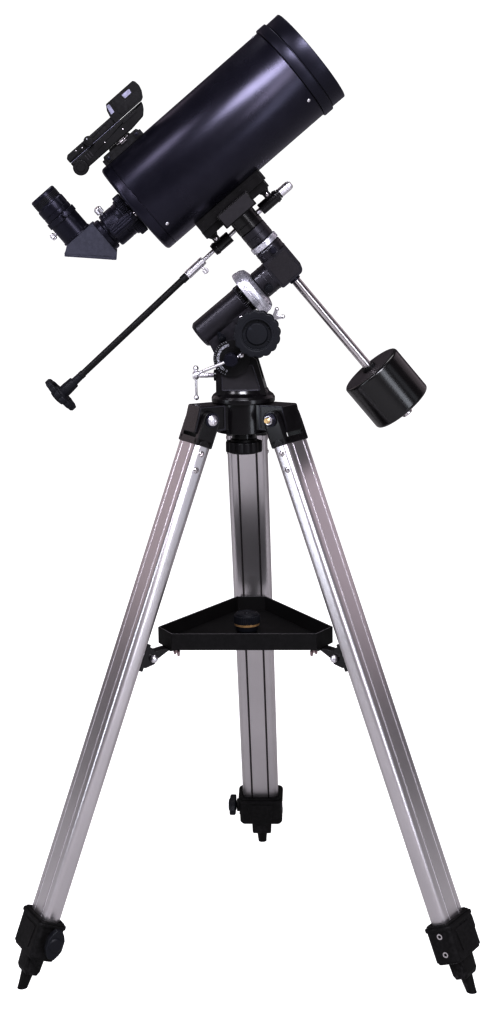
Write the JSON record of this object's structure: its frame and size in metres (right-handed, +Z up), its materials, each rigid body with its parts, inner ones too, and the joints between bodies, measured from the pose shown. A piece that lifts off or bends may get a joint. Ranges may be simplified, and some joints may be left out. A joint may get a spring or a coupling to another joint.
{
  "type": "telescope",
  "caption": "Compact mirror-lens telescope with star diagonal and red-dot finder on a German equatorial mount with counterweight, standing on an aluminium tripod with a tray.",
  "frame": {"origin": "on the ground, under the centre of the bounding box; the tripod axis stands at x 0, y -0.06304", "axes": "+Z up, +X along the heading of the polar axis, +Y towards the rear leg, away from the side with the slow-motion knob of the polar axis"},
  "size_m": [0.5326, 0.4779, 1.0742],
  "materials": {
    "mount_black": "semi-gloss black enamel on die-cast alloy",
    "satin_black": "satin black moulding",
    "black_anodised": "satin black anodised alloy",
    "tube_black": "satin black metallic lacquer",
    "matte_black": "matte black moulding",
    "knob_plastic": "matte blue-black plastic",
    "anodised": "satin anodised extrusion",
    "foot": "extrusion with a black foot",
    "cast_silver": "satin cast alloy",
    "chrome": "bright plated",
    "steel": "polished steel bar",
    "prism_grey": "matte dark grey moulding",
    "counterweight": "gloss black enamel on cast iron",
    "glass": "coated corrector glass",
    "mirror": "aluminised glass"
  },
  "bodies": {
    "tripod": {"tripod_hub": "mount_black", "leg_bracket_left": "mount_black", "leg_bracket_right": "mount_black", "leg_bracket_rear": "mount_black", "hinge_bolt_left": "chrome", "hinge_bolt_right": "chrome", "hinge_bolt_rear": "chrome", "upper_leg_left": "anodised", "upper_leg_right": "anodised", "upper_leg_rear": "anodised", "leg_collar_left": "mount_black", "leg_collar_right": "mount_black", "leg_collar_rear": "mount_black", "brace_arm_left": "mount_black", "brace_arm_right": "mount_black", "brace_arm_rear": "mount_black", "accessory_tray": "matte_black"},
    "lower_leg_left": {"lower_leg_left": "foot"},
    "lower_leg_right": {"lower_leg_right": "foot"},
    "lower_leg_rear": {"lower_leg_rear": "foot"},
    "clamp_knob_left": {"clamp_knob_left": "knob_plastic"},
    "clamp_knob_right": {"clamp_knob_right": "knob_plastic"},
    "clamp_knob_rear": {"clamp_knob_rear": "knob_plastic"},
    "tray_knob": {"tray_knob": "knob_plastic"},
    "azimuth_knob": {"azimuth_knob": "knob_plastic"},
    "pedestal": {"mount_pedestal": "mount_black"},
    "altitude_adjust_bolt": {"altitude_adjust_bolt": "chrome"},
    "altitude_adjust_bar": {"altitude_adjust_bar": "chrome"},
    "altitude_lock_bolt": {"altitude_lock_bolt": "steel"},
    "altitude_lock_bar": {"altitude_lock_bar": "chrome"},
    "polar_head": {"ra_housing": "mount_black", "latitude_scale": "satin_black"},
    "ra_slow_knob": {"ra_slow_knob": "knob_plastic"},
    "ra_setting_circle": {"ra_setting_circle": "cast_silver"},
    "ra_lock_screw": {"ra_lock_screw": "chrome"},
    "dec_head": {"dec_housing": "mount_black", "counterweight_shaft": "steel"},
    "dec_setting_circle": {"dec_setting_circle": "cast_silver"},
    "counterweight": {"counterweight": "counterweight"},
    "counterweight_screw": {"counterweight_screw": "chrome"},
    "dec_clamp": {"dec_clamp_ring": "mount_black"},
    "tube": {"saddle": "mount_black", "spring_plunger": "chrome", "tube_plate": "mount_black", "tube_body": "tube_black", "front_cell": "black_anodised", "corrector_lens": "glass", "rear_cell": "black_anodised", "visual_back": "black_anodised", "finder_base": "satin_black", "finder_body": "satin_black"},
    "dec_slow_drive": {"dec_slow_screw": "chrome", "dec_slow_cable": "satin_black", "dec_slow_knob": "knob_plastic"},
    "primary_mirror": {"primary_mirror": "mirror"},
    "focus_knob": {"focus_knob": "satin_black"},
    "diagonal": {"diagonal_body": "prism_grey"},
    "eyepiece": {"eyepiece": "satin_black"},
    "finder_knob": {"finder_knob": "satin_black"}
  },
  "joints": [
    {"name": "azimuth_turn", "type": "hinge", "parent": "tripod", "child": "pedestal", "pos_m": [0, -0.06304, 0.65], "axis": [0, 0, 1], "continuous": true},
    {"name": "azimuth_bolt_turn", "type": "hinge", "parent": "tripod", "child": "azimuth_knob", "pos_m": [0, -0.06304, 0.6], "axis": [0, 0, -1], "range_deg": [0, 1080]},
    {"name": "tray_knob_turn", "type": "hinge", "parent": "tripod", "child": "tray_knob", "pos_m": [0, -0.06304, 0.39], "axis": [0, 0, 1], "range_deg": [0, 1080]},
    {"name": "leg_extend_left", "type": "slide", "parent": "tripod", "child": "lower_leg_left", "axis": [-0.3089, -0.1784, -0.9342], "range_m": [0, 0.36]},
    {"name": "leg_extend_right", "type": "slide", "parent": "tripod", "child": "lower_leg_right", "axis": [0.3089, -0.1784, -0.9342], "range_m": [0, 0.36]},
    {"name": "leg_extend_rear", "type": "slide", "parent": "tripod", "child": "lower_leg_rear", "axis": [0, 0.3567, -0.9342], "range_m": [0, 0.36]},
    {"name": "leg_clamp_turn_left", "type": "hinge", "parent": "tripod", "child": "clamp_knob_left", "pos_m": [-0.21355, -0.22675, 0.06213], "axis": [0.5, -0.866, 0], "range_deg": [0, 1080]},
    {"name": "leg_clamp_turn_right", "type": "hinge", "parent": "tripod", "child": "clamp_knob_right", "pos_m": [0.24855, -0.16612, 0.06213], "axis": [0.5, 0.866, 0], "range_deg": [0, 1080]},
    {"name": "leg_clamp_turn_rear", "type": "hinge", "parent": "tripod", "child": "clamp_knob_rear", "pos_m": [-0.035, 0.20375, 0.06213], "axis": [-1, 0, 0], "range_deg": [0, 1080]},
    {"name": "altitude_tilt", "type": "hinge", "parent": "pedestal", "child": "polar_head", "pos_m": [-0.01116, -0.06313, 0.70193], "axis": [0.0082, -1, 0], "range_deg": [-18, 15]},
    {"name": "altitude_lock_turn", "type": "hinge", "parent": "pedestal", "child": "altitude_lock_bolt", "pos_m": [-0.01116, -0.06313, 0.70193], "axis": [0.0082, -1, 0], "range_deg": [-30, 70]},
    {"name": "altitude_lock_bar_slide", "type": "slide", "parent": "altitude_lock_bolt", "child": "altitude_lock_bar", "axis": [0.9272, 0.0076, 0.3746], "range_m": [0, 0.012]},
    {"name": "altitude_adjust_turn", "type": "hinge", "parent": "pedestal", "child": "altitude_adjust_bolt", "pos_m": [-0.0536, -0.06348, 0.6803], "axis": [-1, -0.0082, 0], "range_deg": [-1080, 1080]},
    {"name": "altitude_adjust_bar_slide", "type": "slide", "parent": "altitude_adjust_bolt", "child": "altitude_adjust_bar", "axis": [0, 0, 1], "range_m": [0, 0.008]},
    {"name": "ra_turn", "type": "hinge", "parent": "polar_head", "child": "dec_head", "pos_m": [0.04745, -0.06265, 0.80287], "axis": [0.7737, 0.0063, 0.6335], "range_deg": [-60, 60]},
    {"name": "ra_slow_turn", "type": "hinge", "parent": "polar_head", "child": "ra_slow_knob", "pos_m": [0.01921, -0.11288, 0.73163], "axis": [0.0082, -1, 0], "continuous": true},
    {"name": "ra_circle_turn", "type": "hinge", "parent": "polar_head", "child": "ra_setting_circle", "pos_m": [0.00877, -0.06297, 0.7712], "axis": [0.7737, 0.0063, 0.6335], "continuous": true},
    {"name": "ra_lock_turn", "type": "hinge", "parent": "polar_head", "child": "ra_lock_screw", "pos_m": [0.03646, -0.06274, 0.7448], "axis": [0.7737, 0.0063, 0.6335], "range_deg": [0, 720]},
    {"name": "dec_turn", "type": "hinge", "parent": "dec_head", "child": "dec_clamp", "pos_m": [0.04745, -0.06265, 0.80287], "axis": [-0.6296, -0.1042, 0.7699], "range_deg": [-180, 180]},
    {"name": "dec_circle_turn", "type": "hinge", "parent": "dec_head", "child": "dec_setting_circle", "pos_m": [0.02668, -0.06609, 0.82828], "axis": [-0.6296, -0.1042, 0.7699], "continuous": true},
    {"name": "dec_fine_turn", "type": "hinge", "parent": "dec_clamp", "child": "tube", "pos_m": [0.00968, -0.0689, 0.84907], "axis": [-0.6296, -0.1042, 0.7699], "range_deg": [-4, 4]},
    {"name": "dec_slow_turn", "type": "hinge", "parent": "tube", "child": "dec_slow_drive", "pos_m": [-0.10575, -0.05718, 0.75313], "axis": [-0.7406, -0.0651, -0.6688], "range_deg": [-560, 560]},
    {"name": "counterweight_slide", "type": "slide", "parent": "dec_head", "child": "counterweight", "axis": [-0.6296, -0.1042, 0.7699], "range_m": [0, 0.11]},
    {"name": "counterweight_screw_turn", "type": "hinge", "parent": "counterweight", "child": "counterweight_screw", "pos_m": [0.1601, 0.00128, 0.66466], "axis": [-0.0709, 0.9945, 0.0766], "range_deg": [0, 1080]},
    {"name": "focus_turn", "type": "hinge", "parent": "tube", "child": "focus_knob", "pos_m": [-0.12173, -0.11931, 0.85594], "axis": [-0.7676, -0.0695, -0.6371], "range_deg": [-2880, 2880]},
    {"name": "mirror_shift", "type": "slide", "parent": "tube", "child": "primary_mirror", "axis": [0.7676, 0.0695, 0.6371], "range_m": [-0.004, 0.004]},
    {"name": "diagonal_turn", "type": "hinge", "parent": "tube", "child": "diagonal", "pos_m": [-0.13826, -0.08678, 0.84877], "axis": [0.7676, 0.0695, 0.6371], "range_deg": [-90, 90]},
    {"name": "eyepiece_lift", "type": "slide", "parent": "diagonal", "child": "eyepiece", "axis": [-0.6296, -0.1042, 0.7699], "range_m": [0, 0.036]},
    {"name": "finder_knob_turn", "type": "hinge", "parent": "tube", "child": "finder_knob", "pos_m": [-0.1611, -0.11111, 0.94266], "axis": [0.1199, -0.9921, -0.0362], "range_deg": [0, 270]}
  ],
  "couplings": [
    {"joint": "ra_circle_turn", "follows": "ra_slow_turn", "ratio": 0.01},
    {"joint": "dec_slow_turn", "follows": "dec_fine_turn", "ratio": 138.2},
    {"joint": "focus_turn", "follows": "mirror_shift", "rad_per_m": 12560}
  ]
}
